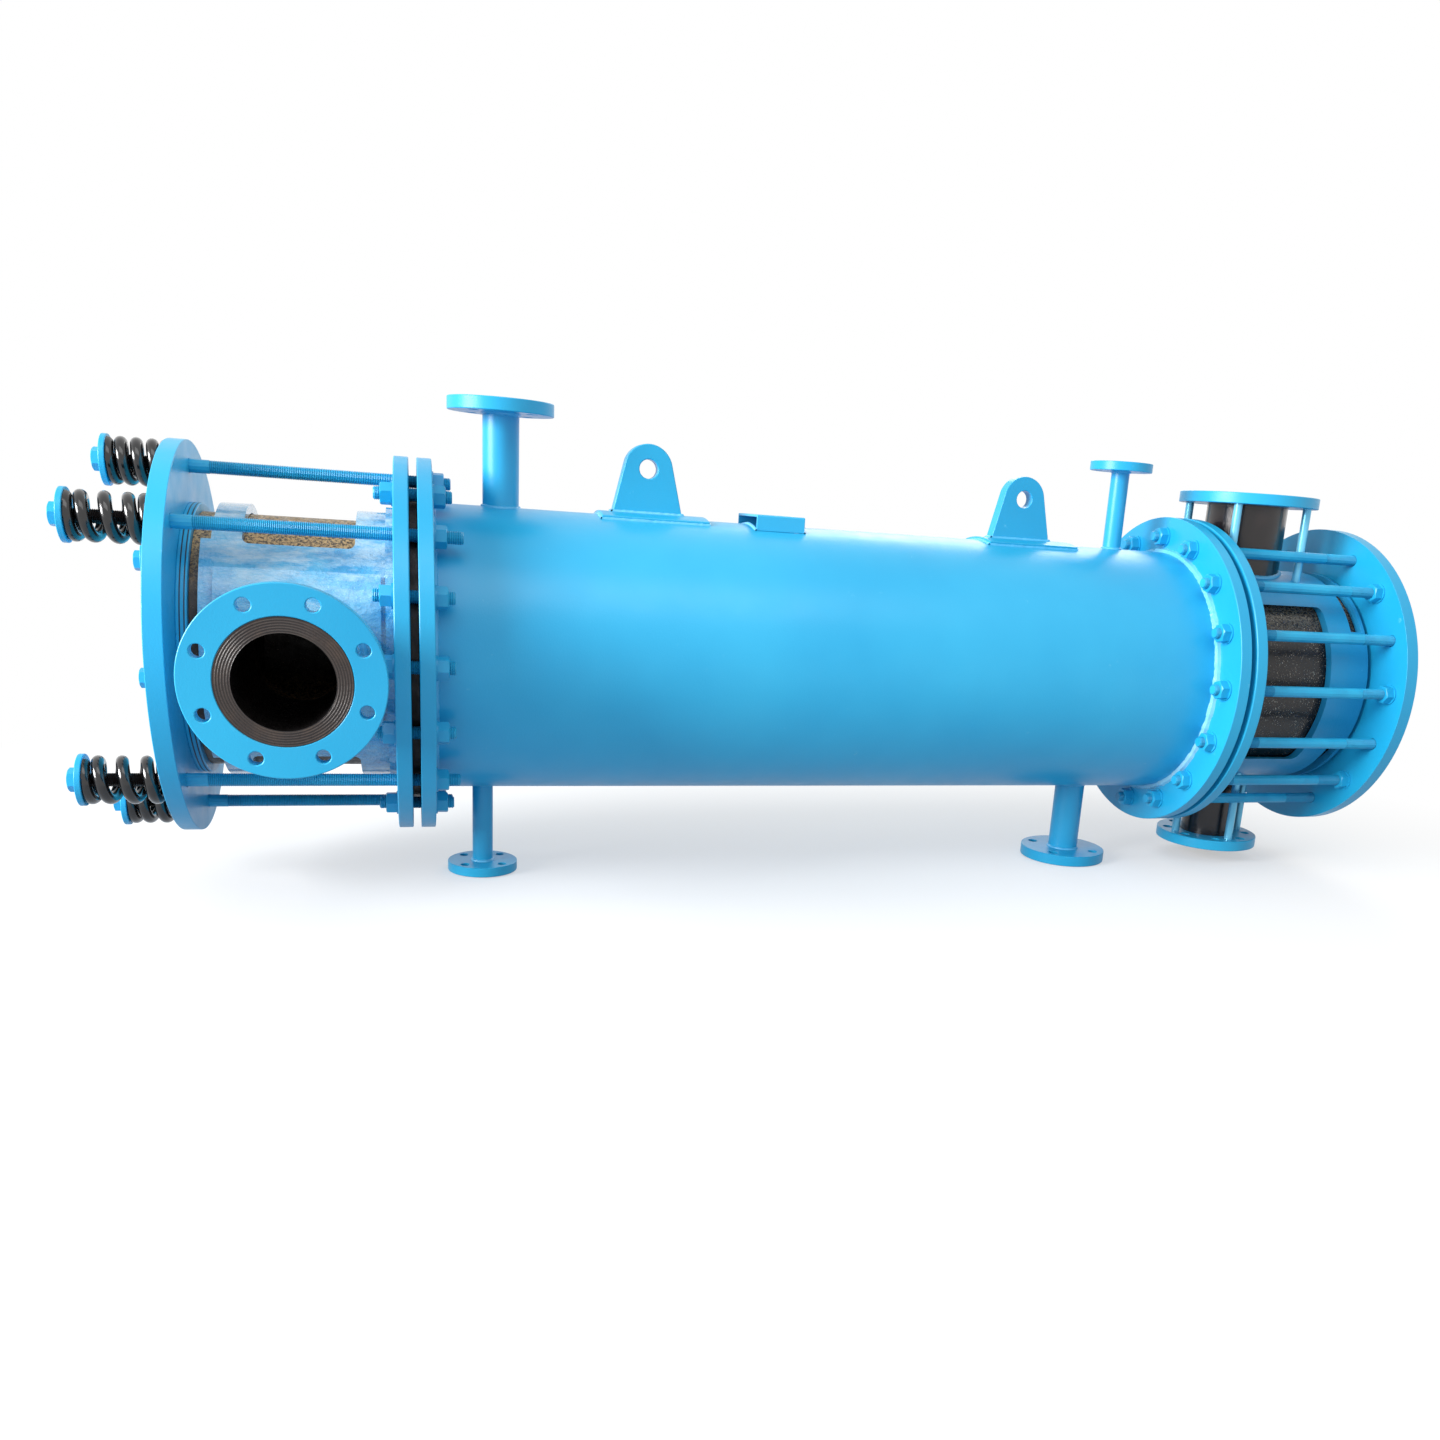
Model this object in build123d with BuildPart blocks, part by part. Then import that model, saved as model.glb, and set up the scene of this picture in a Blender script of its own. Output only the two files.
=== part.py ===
from build123d import *
import os
from math import asin, cos, degrees, pi, radians, sin

# Horizontal graphite heat exchanger. The origin is the centre of the face of the lower left
# shell nozzle, +X runs along the shell, +Z is up and the side nozzle faces -Y. Millimetres.

# Shell
axis_height = 380.0
shell_od = 457.0
shell_wall = 8.0
shell_length = 1394.0
left_face = -100.0
sheet_thick = 12.0
sheet_seat = 1.0

# Ring flanges: one size for all four and for the two end plates
ring_width = 66.5
ring_thick = 22.0
bolt_edge = 37.5
bolt_count = 16
bolt_hole = 21.0
stud_dia = 20.0
nut_height = 16.0

# Clearances
weld_fit = 0.2
thread_fit = 0.15
core_fit = 1.5

# Jackets of both headers: how far they stand in from the shell
jacket_step = 20.5
jacket_wall = 14.0
core_bore = 300.0
core_floor = 60.0
window_corner = 10.0

# Left header, from the header flange to the pressure plate
left_jacket_length = 246.0
apron_length = 13.0
apron_half_angle = 50.0
jacket_collar_step = 8.0
jacket_collar_length = 12.0
band_length = 27.0
left_ring_length = 15.0
left_ring_step = 3.0
plate_thick = 25.0
left_window_length = 152.0
left_window_width = 276.0
left_window_offset = 130.0

# Side nozzle
side_offset = 130.0
side_face = 430.0
side_flange_od = 250.0
side_flange_thick = 22.0
side_bolt_edge = 20.0
side_bolt_count = 8
side_bolt_hole = 18.0
side_turn = 2.0
side_bore = 125.0
side_ring_wall = 20.5
side_neck_wall = 6.0
saddle_thick = 7.0
saddle_half_angle = 35.0
saddle_margin = 6.0

# Tie rods and springs: angles from the side nozzle, upwards
rod_angles = (45.0, 90.0, 157.5, -157.5, -90.0, -45.0)
spring_lengths = (98.0, 80.0, 80.0, 84.0, 86.0, 103.0)
rod_shell_ends = (26.0, 13.0, 13.0, 13.0, 13.0, 20.0)
rod_cap_end = 15.0
bolt_end = 12.5
spring_od = 70.0
spring_wire = 17.0
spring_turns = 2.2
cap_od = 74.0
cap_thick = 8.0

# Small shell nozzles, each with four bolts
large_stem_od = 57.0
large_stem_wall = 3.5
large_flange_od = 165.0
large_flange_thick = 20.0
large_bolt_edge = 20.0
large_bolt_hole = 18.0
small_stem_od = 33.7
small_stem_wall = 3.35
small_flange_od = 115.0
small_flange_thick = 16.0
small_bolt_edge = 15.0
small_bolt_hole = 14.0
nozzle_bolt_count = 4
upper_left_x = 28.5
upper_left_face = 772.0
upper_right_inset = 137.0
upper_right_face = 766.0
lower_right_inset = 163.0

# Lifting lugs and the bare bracket on the shell
left_lug_inset = 365.0
right_lug_inset = 337.0
lug_base = 117.0
lug_top_radius = 40.0
lug_hole = 31.0
lug_hole_height = 77.0
lug_thick = 25.0
pad_length = 178.0
pad_shift = 8.0
pad_width = 110.0
pad_thick = 6.0
bracket_inset = 582.0
bracket_length = 84.0
bracket_width = 130.0
bracket_rise = 17.0
bracket_sheet = 4.0

# Right header, from the header flange to the end cover
right_jacket_length = 251.0
right_window_start = 24.0
right_window_end = 212.0
right_window_width = 296.0
end_ring_length = 47.0
end_slot_start = 14.0
end_slot_length = 25.0
end_slot_angle = 118.0
end_gap = 11.0
cover_thick = 25.0
top_port_offset = 121.0
top_port_face = 348.0
top_flange_od = 262.0
top_flange_thick = 20.0
top_bolt_edge = 20.0
top_bolt_count = 8
top_bolt_hole = 18.0
top_stub_wall = 13.5
top_bore = 125.0
bottom_port_offset = 140.0
bottom_port_face = 350.0
bottom_flange_od = 200.0
bottom_flange_thick = 20.0
bottom_bolt_edge = 20.0
bottom_bolt_count = 8
bottom_bolt_hole = 18.0
bottom_stub_wall = 12.0
bottom_bore = 80.0
port_rod_dia = 16.0
bottom_rod_inset = 5.0
port_rod_count = 4

# Places along the axis that follow from the lengths
right_face = left_face + shell_length
left_sheet_face = left_face - sheet_thick
left_header_face = left_sheet_face - ring_thick
left_jacket_end = left_header_face - left_jacket_length
left_band_end = left_jacket_end - band_length
plate_face = left_band_end - left_ring_length
plate_outer = plate_face - plate_thick
right_sheet_face = right_face + sheet_thick
right_header_face = right_sheet_face + ring_thick
right_jacket_end = right_header_face + right_jacket_length
end_ring_face = right_jacket_end + end_ring_length
cover_face = end_ring_face + end_gap
cover_outer = cover_face + cover_thick
side_x = left_header_face - side_offset
upper_right_x = right_face - upper_right_inset
lower_right_x = right_face - lower_right_inset
top_port_x = right_header_face + top_port_offset
bottom_port_x = right_header_face + bottom_port_offset
lug_positions = (left_face + left_lug_inset, right_face - right_lug_inset)
bracket_x = left_face + bracket_inset

# Radii that follow from the diameters
shell_radius = shell_od / 2
ring_radius = shell_radius + ring_width
bolt_radius = ring_radius - bolt_edge
jacket_radius = shell_radius - jacket_step
jacket_bore_radius = jacket_radius - jacket_wall
core_radius = jacket_bore_radius - core_fit
sheet_radius = bolt_radius - bolt_hole / 2 - sheet_seat
side_ring_radius = side_bore / 2 + side_ring_wall
side_bolt_radius = side_flange_od / 2 - side_bolt_edge
large_stem_radius = large_stem_od / 2
large_bore_radius = large_stem_radius - large_stem_wall
large_bolt_radius = large_flange_od / 2 - large_bolt_edge
small_stem_radius = small_stem_od / 2
small_bore_radius = small_stem_radius - small_stem_wall
small_bolt_radius = small_flange_od / 2 - small_bolt_edge
top_stub_radius = top_bore / 2 + top_stub_wall
top_bolt_radius = top_flange_od / 2 - top_bolt_edge
bottom_stub_radius = bottom_bore / 2 + bottom_stub_wall
bottom_bolt_radius = bottom_flange_od / 2 - bottom_bolt_edge
step = 360 / bolt_count


# A plane across the axis: its x points to the side nozzle, its y up, and it faces left
def across(x):
    return Plane(origin=(x, 0, axis_height), x_dir=(0, -1, 0), z_dir=(-1, 0, 0))


# A level plane at a height above the feet, and one that faces the side nozzle
def level(x, z):
    return Plane(origin=(x, 0, z), x_dir=(1, 0, 0), z_dir=(0, 0, 1))


def facing(x, y, z=axis_height):
    return Plane(origin=(x, y, z), x_dir=(1, 0, 0), z_dir=(0, -1, 0))


def around(radius, angles):
    return [(radius * cos(radians(a)), radius * sin(radians(a))) for a in angles]


def finish(part, name):
    part.label = name
    export_step(part, "parts/" + name + ".step")


os.makedirs("parts", exist_ok=True)
all_angles = [step * k for k in range(bolt_count)]
rod_set = [a % 360 for a in rod_angles]
short_angles = [a for a in all_angles if a not in rod_set]
port_angles = [90.0, 270.0]
long_angles = [a for a in all_angles if a not in port_angles]

# Shell: a plain tube whose ends lie in the two shell flanges, with a hole under each nozzle
with BuildPart() as shell:
    with BuildSketch(across(right_face)):
        Circle(shell_radius)
        Circle(shell_radius - shell_wall, mode=Mode.SUBTRACT)
    extrude(amount=shell_length)
    with BuildSketch(level(0, 0)):
        Circle(small_bore_radius)
        with Locations((lower_right_x, 0)):
            Circle(large_bore_radius)
    extrude(amount=axis_height, mode=Mode.SUBTRACT)
    with BuildSketch(level(0, axis_height)):
        with Locations((upper_left_x, 0)):
            Circle(large_bore_radius)
        with Locations((upper_right_x, 0)):
            Circle(small_bore_radius)
    extrude(amount=shell_od, mode=Mode.SUBTRACT)
finish(shell.part, "shell")

# The shell flanges are slipped over the ends of the tube
with BuildPart() as shell_flange_left:
    with BuildSketch(across(left_face + ring_thick)):
        Circle(ring_radius)
        Circle(shell_radius + weld_fit, mode=Mode.SUBTRACT)
        with PolarLocations(bolt_radius, bolt_count):
            Circle(bolt_hole / 2, mode=Mode.SUBTRACT)
    extrude(amount=ring_thick)
finish(shell_flange_left.part, "shell_flange_left")

with BuildPart() as shell_flange_right:
    with BuildSketch(across(right_face)):
        Circle(ring_radius)
        Circle(shell_radius + weld_fit, mode=Mode.SUBTRACT)
        with PolarLocations(bolt_radius, bolt_count):
            Circle(bolt_hole / 2, mode=Mode.SUBTRACT)
    extrude(amount=ring_thick)
finish(shell_flange_right.part, "shell_flange_right")

# Tube sheets: graphite discs gripped between the flanges, inside the bolts
with BuildPart() as tube_sheet_left:
    with BuildSketch(across(left_face)):
        Circle(sheet_radius)
    extrude(amount=sheet_thick)
finish(tube_sheet_left.part, "tube_sheet_left")

with BuildPart() as tube_sheet_right:
    with BuildSketch(across(right_sheet_face)):
        Circle(sheet_radius)
    extrude(amount=sheet_thick)
finish(tube_sheet_right.part, "tube_sheet_right")

# Header flanges: the graphite header passes through them to the tube sheet
with BuildPart() as header_flange_left:
    with BuildSketch(across(left_sheet_face)):
        Circle(ring_radius)
        Circle(jacket_bore_radius, mode=Mode.SUBTRACT)
        with PolarLocations(bolt_radius, bolt_count):
            Circle(bolt_hole / 2, mode=Mode.SUBTRACT)
    extrude(amount=ring_thick)
finish(header_flange_left.part, "header_flange_left")

with BuildPart() as header_flange_right:
    with BuildSketch(across(right_header_face)):
        Circle(ring_radius)
        Circle(jacket_bore_radius, mode=Mode.SUBTRACT)
        with PolarLocations(bolt_radius, bolt_count):
            Circle(bolt_hole / 2, mode=Mode.SUBTRACT)
    extrude(amount=ring_thick)
finish(header_flange_right.part, "header_flange_right")

# Left header: a graphite cup open to the tube sheet, with the side port drilled into it
with BuildPart() as left_header_graphite:
    with BuildSketch(across(left_sheet_face)):
        Circle(core_radius)
    extrude(amount=left_sheet_face - left_band_end)
    with BuildSketch(across(left_sheet_face)):
        Circle(core_bore / 2)
    extrude(amount=left_sheet_face - left_band_end - core_floor, mode=Mode.SUBTRACT)
    with BuildSketch(facing(side_x, 0)):
        Circle(side_bore / 2)
    extrude(amount=jacket_radius, mode=Mode.SUBTRACT)
finish(left_header_graphite.part, "left_header_graphite")

# Its cast jacket: windows above and below, a hole for the side nozzle, a collar at the flange
# and, at the front, an apron that reaches further over the graphite
with BuildPart() as left_header_jacket:
    with BuildSketch(across(left_header_face)):
        Circle(jacket_radius)
    extrude(amount=left_jacket_length)
    with BuildSketch(across(left_header_face)):
        Circle(jacket_radius + jacket_collar_step)
    extrude(amount=jacket_collar_length)
    with BuildSketch(across(left_header_face)):
        with BuildLine():
            apron_arc = CenterArc((0, 0), jacket_radius, -apron_half_angle, 2 * apron_half_angle)
            Line((0, 0), apron_arc @ 0)
            Line(apron_arc @ 1, (0, 0))
        make_face()
    extrude(amount=left_jacket_length + apron_length)
    with BuildSketch(across(left_header_face)):
        Circle(jacket_bore_radius)
    extrude(amount=left_jacket_length + apron_length, mode=Mode.SUBTRACT)
    with BuildSketch(level(left_header_face - left_window_offset, 0)):
        RectangleRounded(left_window_length, left_window_width, window_corner)
    extrude(amount=2 * axis_height, mode=Mode.SUBTRACT)
    with BuildSketch(facing(side_x, 0)):
        Circle(side_ring_radius + weld_fit)
    extrude(amount=jacket_radius, mode=Mode.SUBTRACT)
finish(left_header_jacket.part, "left_header_jacket")

# Saddle: a curved pad on the jacket round the side nozzle
with BuildPart() as left_jacket_saddle:
    with BuildSketch(across(left_header_face - jacket_collar_length - saddle_margin)):
        with BuildLine():
            saddle_outer = CenterArc((0, 0), jacket_radius + saddle_thick, -saddle_half_angle,
                                     2 * saddle_half_angle)
            saddle_inner = CenterArc((0, 0), jacket_radius + weld_fit, -saddle_half_angle,
                                     2 * saddle_half_angle)
            Line(saddle_outer @ 0, saddle_inner @ 0)
            Line(saddle_outer @ 1, saddle_inner @ 1)
        make_face()
    extrude(amount=left_jacket_length - jacket_collar_length - 2 * saddle_margin)
    with BuildSketch(facing(side_x, 0)):
        Circle(side_ring_radius + side_neck_wall + weld_fit)
    extrude(amount=jacket_radius + saddle_thick, mode=Mode.SUBTRACT)
finish(left_jacket_saddle.part, "left_jacket_saddle")

# Ring between the graphite and the pressure plate
with BuildPart() as left_header_ring:
    with BuildSketch(across(left_band_end)):
        Circle(jacket_radius - left_ring_step)
        Circle(core_bore / 2, mode=Mode.SUBTRACT)
    extrude(amount=left_ring_length)
finish(left_header_ring.part, "left_header_ring")

# Side nozzle: neck on the jacket, bolted flange, graphite liner flush with the flange face
with BuildPart() as side_nozzle_neck:
    with BuildSketch(facing(side_x, 0)):
        Circle(side_ring_radius + side_neck_wall)
    extrude(amount=side_face - side_flange_thick)
    with BuildSketch(facing(side_x, 0)):
        Circle(side_ring_radius + weld_fit)
    extrude(amount=side_face, mode=Mode.SUBTRACT)
    with BuildSketch(across(left_header_face)):
        Circle(jacket_radius + weld_fit)
    extrude(amount=left_jacket_length, mode=Mode.SUBTRACT)
finish(side_nozzle_neck.part, "side_nozzle_neck")

with BuildPart() as side_nozzle_flange:
    with BuildSketch(facing(side_x, side_flange_thick - side_face)):
        Circle(side_flange_od / 2)
        Circle(side_ring_radius + weld_fit, mode=Mode.SUBTRACT)
        with PolarLocations(side_bolt_radius, side_bolt_count, 22.5 + side_turn):
            Circle(side_bolt_hole / 2, mode=Mode.SUBTRACT)
    extrude(amount=side_flange_thick)
finish(side_nozzle_flange.part, "side_nozzle_flange")

with BuildPart() as side_nozzle_liner:
    with BuildSketch(facing(side_x, 0)):
        Circle(side_ring_radius)
        Circle(side_bore / 2, mode=Mode.SUBTRACT)
    extrude(amount=side_face)
    with BuildSketch(across(left_header_face)):
        Circle(core_radius + weld_fit)
    extrude(amount=left_jacket_length, mode=Mode.SUBTRACT)
finish(side_nozzle_liner.part, "side_nozzle_liner")

# Pressure plate: the long rods pass through it, the place at the side nozzle has no hole
with BuildPart() as pressure_plate:
    with BuildSketch(across(plate_face)):
        Circle(ring_radius)
        with Locations(*around(bolt_radius, rod_angles)):
            Circle(bolt_hole / 2, mode=Mode.SUBTRACT)
    extrude(amount=plate_thick)
finish(pressure_plate.part, "pressure_plate")

# Tie rods: from the spring caps through the plate and both left flanges
nut_seat = left_face + ring_thick
with BuildPart() as tie_rods:
    for angle, spring_length, shell_end in zip(rod_angles, spring_lengths, rod_shell_ends):
        rod_start = nut_seat + nut_height + shell_end
        rod_stop = plate_outer - spring_length - cap_thick - rod_cap_end
        with BuildSketch(across(rod_start)):
            with Locations(*around(bolt_radius, [angle])):
                Circle(stud_dia / 2)
        extrude(amount=rod_start - rod_stop)
finish(tie_rods.part, "tie_rods")


# Height of a spring's wire after some turns: one closed turn at each end, a few open between
def coil_height(turn, length):
    closed_rise = spring_wire + weld_fit
    open_rise = length - 2 * closed_rise
    open_share = min(max((turn - 1) / spring_turns, 0), 1)
    closed_turns = min(turn, 1) + max(turn - 1 - spring_turns, 0)
    return closed_rise * closed_turns + open_rise * open_share


# Springs: closed at both ends and ground flat where they meet the plate and the cap
coil_steps = 10
spring_radius = (spring_od - spring_wire) / 2
with BuildPart() as tie_rod_springs:
    for angle, spring_length in zip(rod_angles, spring_lengths):
        coil_front, coil_up = around(bolt_radius, [angle])[0]
        coil_points = []
        for k in range(round((spring_turns + 2) * coil_steps) + 1):
            turn = k / coil_steps
            front, up = around(spring_radius, [360 * turn])[0]
            coil_x = plate_outer - coil_height(turn, spring_length)
            coil_points.append((coil_x, -coil_front - front, axis_height + coil_up + up))
        with BuildPart(mode=Mode.PRIVATE) as coil:
            with BuildLine() as coil_path:
                Spline(*coil_points)
            with BuildSketch(Plane(coil_path.line @ 0, z_dir=coil_path.line % 0)):
                RegularPolygon(spring_wire / 2, 6)
            sweep(is_frenet=True)
            with BuildSketch(across(plate_outer)):
                Circle(ring_radius + spring_od)
            extrude(amount=spring_length, mode=Mode.INTERSECT)
        add(coil.part)
finish(tie_rod_springs.part, "tie_rod_springs")

with BuildPart() as spring_caps:
    for angle, spring_length in zip(rod_angles, spring_lengths):
        with BuildSketch(across(plate_outer - spring_length)):
            with Locations(*around(bolt_radius, [angle])):
                Circle(cap_od / 2)
                Circle(stud_dia / 2 + thread_fit, mode=Mode.SUBTRACT)
        extrude(amount=cap_thick)
finish(spring_caps.part, "spring_caps")

# Short bolts in the other places of the left flanges
short_start = nut_seat + nut_height + bolt_end
short_stop = left_header_face - nut_height - bolt_end
with BuildPart() as left_flange_bolts:
    with BuildSketch(across(short_start)):
        with Locations(*around(bolt_radius, short_angles)):
            Circle(stud_dia / 2)
    extrude(amount=short_start - short_stop)
finish(left_flange_bolts.part, "left_flange_bolts")

# Small shell nozzles: each stem is cut to the shell and ends flush with its flange's face
with BuildPart() as upper_left_stem:
    with BuildSketch(level(upper_left_x, axis_height)):
        Circle(large_stem_radius)
        Circle(large_bore_radius, mode=Mode.SUBTRACT)
    extrude(amount=upper_left_face - axis_height)
    with BuildSketch(across(right_face)):
        Circle(shell_radius + weld_fit)
    extrude(amount=shell_length, mode=Mode.SUBTRACT)
finish(upper_left_stem.part, "upper_left_stem")

with BuildPart() as upper_left_flange:
    with BuildSketch(level(upper_left_x, upper_left_face - large_flange_thick)):
        Circle(large_flange_od / 2)
        Circle(large_stem_radius + weld_fit, mode=Mode.SUBTRACT)
        with PolarLocations(large_bolt_radius, nozzle_bolt_count, 45):
            Circle(large_bolt_hole / 2, mode=Mode.SUBTRACT)
    extrude(amount=large_flange_thick)
finish(upper_left_flange.part, "upper_left_flange")

with BuildPart() as upper_right_stem:
    with BuildSketch(level(upper_right_x, axis_height)):
        Circle(small_stem_radius)
        Circle(small_bore_radius, mode=Mode.SUBTRACT)
    extrude(amount=upper_right_face - axis_height)
    with BuildSketch(across(right_face)):
        Circle(shell_radius + weld_fit)
    extrude(amount=shell_length, mode=Mode.SUBTRACT)
finish(upper_right_stem.part, "upper_right_stem")

with BuildPart() as upper_right_flange:
    with BuildSketch(level(upper_right_x, upper_right_face - small_flange_thick)):
        Circle(small_flange_od / 2)
        Circle(small_stem_radius + weld_fit, mode=Mode.SUBTRACT)
        with PolarLocations(small_bolt_radius, nozzle_bolt_count, 45):
            Circle(small_bolt_hole / 2, mode=Mode.SUBTRACT)
    extrude(amount=small_flange_thick)
finish(upper_right_flange.part, "upper_right_flange")

with BuildPart() as lower_left_stem:
    with BuildSketch(level(0, 0)):
        Circle(small_stem_radius)
        Circle(small_bore_radius, mode=Mode.SUBTRACT)
    extrude(amount=axis_height)
    with BuildSketch(across(right_face)):
        Circle(shell_radius + weld_fit)
    extrude(amount=shell_length, mode=Mode.SUBTRACT)
finish(lower_left_stem.part, "lower_left_stem")

with BuildPart() as lower_left_flange:
    with BuildSketch(level(0, 0)):
        Circle(small_flange_od / 2)
        Circle(small_stem_radius + weld_fit, mode=Mode.SUBTRACT)
        with PolarLocations(small_bolt_radius, nozzle_bolt_count, 45):
            Circle(small_bolt_hole / 2, mode=Mode.SUBTRACT)
    extrude(amount=small_flange_thick)
finish(lower_left_flange.part, "lower_left_flange")

with BuildPart() as lower_right_stem:
    with BuildSketch(level(lower_right_x, 0)):
        Circle(large_stem_radius)
        Circle(large_bore_radius, mode=Mode.SUBTRACT)
    extrude(amount=axis_height)
    with BuildSketch(across(right_face)):
        Circle(shell_radius + weld_fit)
    extrude(amount=shell_length, mode=Mode.SUBTRACT)
finish(lower_right_stem.part, "lower_right_stem")

with BuildPart() as lower_right_flange:
    with BuildSketch(level(lower_right_x, 0)):
        Circle(large_flange_od / 2)
        Circle(large_stem_radius + weld_fit, mode=Mode.SUBTRACT)
        with PolarLocations(large_bolt_radius, nozzle_bolt_count, 45):
            Circle(large_bolt_hole / 2, mode=Mode.SUBTRACT)
    extrude(amount=large_flange_thick)
finish(lower_right_flange.part, "lower_right_flange")

# Lifting lugs: a curved pad on the shell and an eye plate whose sides run to the round top
lug_eye_height = shell_radius + lug_hole_height
lug_foot_height = shell_radius + pad_thick / 2
pad_angle = degrees(asin(pad_width / 2 / shell_radius))
for lug_x, lug_name in zip(lug_positions, ("lug_left", "lug_right")):
    with BuildPart() as lug:
        with BuildSketch(across(lug_x + pad_shift + pad_length / 2)):
            with BuildLine():
                pad_outer = CenterArc((0, 0), shell_radius + pad_thick, 90 - pad_angle,
                                      2 * pad_angle)
                pad_inner = CenterArc((0, 0), shell_radius + weld_fit, 90 - pad_angle,
                                      2 * pad_angle)
                Line(pad_outer @ 0, pad_inner @ 0)
                Line(pad_outer @ 1, pad_inner @ 1)
            make_face()
        extrude(amount=pad_length)
        with BuildSketch(facing(lug_x, lug_thick / 2)):
            with BuildLine():
                CenterArc((0, lug_eye_height), lug_top_radius, 0, 360)
                Line((-lug_base / 2, lug_foot_height), (lug_base / 2, lug_foot_height))
            make_hull()
            with Locations((0, lug_eye_height)):
                Circle(lug_hole / 2, mode=Mode.SUBTRACT)
        extrude(amount=lug_thick)
    finish(lug.part, lug_name)

# Bare bracket: a bent sheet, open at both ends, standing on the crest of the shell
bracket_top = shell_radius + bracket_rise
with BuildPart() as plate_bracket:
    with BuildSketch(across(bracket_x + bracket_length / 2)):
        with Locations((0, bracket_top / 2)):
            Rectangle(bracket_width, bracket_top)
        with Locations((0, (bracket_top - bracket_sheet) / 2)):
            Rectangle(bracket_width - 2 * bracket_sheet, bracket_top - bracket_sheet,
                      mode=Mode.SUBTRACT)
    extrude(amount=bracket_length)
    with BuildSketch(across(right_face)):
        Circle(shell_radius + weld_fit)
    extrude(amount=shell_length, mode=Mode.SUBTRACT)
    fillet(
        plate_bracket.edges().filter_by(Axis.X).group_by(Axis.Z)[-1],
        radius=bracket_sheet * 0.75,
    )
finish(plate_bracket.part, "plate_bracket")

# Right header: a graphite block with its chamber, and a port above and below
with BuildPart() as right_header_graphite:
    with BuildSketch(across(cover_face)):
        Circle(core_radius)
    extrude(amount=cover_face - right_sheet_face)
    with BuildSketch(across(cover_face - core_floor)):
        Circle(core_bore / 2)
    extrude(amount=cover_face - core_floor - right_sheet_face, mode=Mode.SUBTRACT)
    with BuildSketch(level(top_port_x, axis_height)):
        Circle(top_bore / 2)
    extrude(amount=jacket_radius, mode=Mode.SUBTRACT)
    with BuildSketch(level(bottom_port_x, axis_height)):
        Circle(bottom_bore / 2)
    extrude(amount=-jacket_radius, mode=Mode.SUBTRACT)
finish(right_header_graphite.part, "right_header_graphite")

with BuildPart() as right_header_jacket:
    with BuildSketch(across(right_jacket_end)):
        Circle(jacket_radius)
        Circle(jacket_bore_radius, mode=Mode.SUBTRACT)
    extrude(amount=right_jacket_length)
    window_length = right_window_end - right_window_start
    window_middle = right_header_face + (right_window_start + right_window_end) / 2
    with BuildSketch(facing(window_middle, jacket_radius)):
        RectangleRounded(window_length, right_window_width, window_corner)
    extrude(amount=2 * jacket_radius, mode=Mode.SUBTRACT)
    with BuildSketch(level(top_port_x, axis_height)):
        Circle(top_stub_radius + weld_fit)
    extrude(amount=jacket_radius, mode=Mode.SUBTRACT)
    with BuildSketch(level(bottom_port_x, axis_height)):
        Circle(bottom_stub_radius + weld_fit)
    extrude(amount=-jacket_radius, mode=Mode.SUBTRACT)
finish(right_header_jacket.part, "right_header_jacket")

# End ring: slotted above and below, solid at the front and the back
with BuildPart() as right_end_ring:
    with BuildSketch(across(end_ring_face)):
        Circle(jacket_radius)
        Circle(jacket_bore_radius, mode=Mode.SUBTRACT)
    extrude(amount=end_ring_length)
    with BuildSketch(across(right_jacket_end + end_slot_start + end_slot_length)):
        with BuildLine():
            slot_arc = CenterArc((0, 0), ring_radius, 90 - end_slot_angle / 2, end_slot_angle)
            Line((0, 0), slot_arc @ 0)
            Line(slot_arc @ 1, (0, 0))
        make_face()
        mirror(about=Plane.XZ)
    extrude(amount=end_slot_length, mode=Mode.SUBTRACT)
finish(right_end_ring.part, "right_end_ring")

with BuildPart() as end_cover:
    with BuildSketch(across(cover_outer)):
        Circle(ring_radius)
        with Locations(*around(bolt_radius, long_angles)):
            Circle(bolt_hole / 2, mode=Mode.SUBTRACT)
    extrude(amount=cover_thick)
finish(end_cover.part, "end_cover")

# Right studs: from the shell flange through the header flange to the cover
stud_start = cover_outer + nut_height + bolt_end
stud_stop = right_face - ring_thick - nut_height - bolt_end
with BuildPart() as right_studs:
    with BuildSketch(across(stud_start)):
        with Locations(*around(bolt_radius, long_angles)):
            Circle(stud_dia / 2)
    extrude(amount=stud_start - stud_stop)
finish(right_studs.part, "right_studs")

# Short bolts in the two flanges above and below, where the ports stand in the way
port_bolt_start = right_header_face + nut_height + bolt_end
with BuildPart() as right_flange_bolts:
    with BuildSketch(across(port_bolt_start)):
        with Locations(*around(bolt_radius, port_angles)):
            Circle(stud_dia / 2)
    extrude(amount=port_bolt_start - stud_stop)
finish(right_flange_bolts.part, "right_flange_bolts")

# Ports of the right header: graphite stub, clamping flange flush with its face, and rods
top_face = axis_height + top_port_face
with BuildPart() as top_nozzle_stub:
    with BuildSketch(level(top_port_x, axis_height)):
        Circle(top_stub_radius)
        Circle(top_bore / 2, mode=Mode.SUBTRACT)
    extrude(amount=top_port_face)
    with BuildSketch(across(cover_face)):
        Circle(core_radius + weld_fit)
    extrude(amount=cover_face - right_sheet_face, mode=Mode.SUBTRACT)
finish(top_nozzle_stub.part, "top_nozzle_stub")

with BuildPart() as top_nozzle_flange:
    with BuildSketch(level(top_port_x, top_face - top_flange_thick)):
        Circle(top_flange_od / 2)
        Circle(top_stub_radius + weld_fit, mode=Mode.SUBTRACT)
        with PolarLocations(top_bolt_radius, top_bolt_count, 22.5):
            Circle(top_bolt_hole / 2, mode=Mode.SUBTRACT)
    extrude(amount=top_flange_thick)
finish(top_nozzle_flange.part, "top_nozzle_flange")

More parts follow.
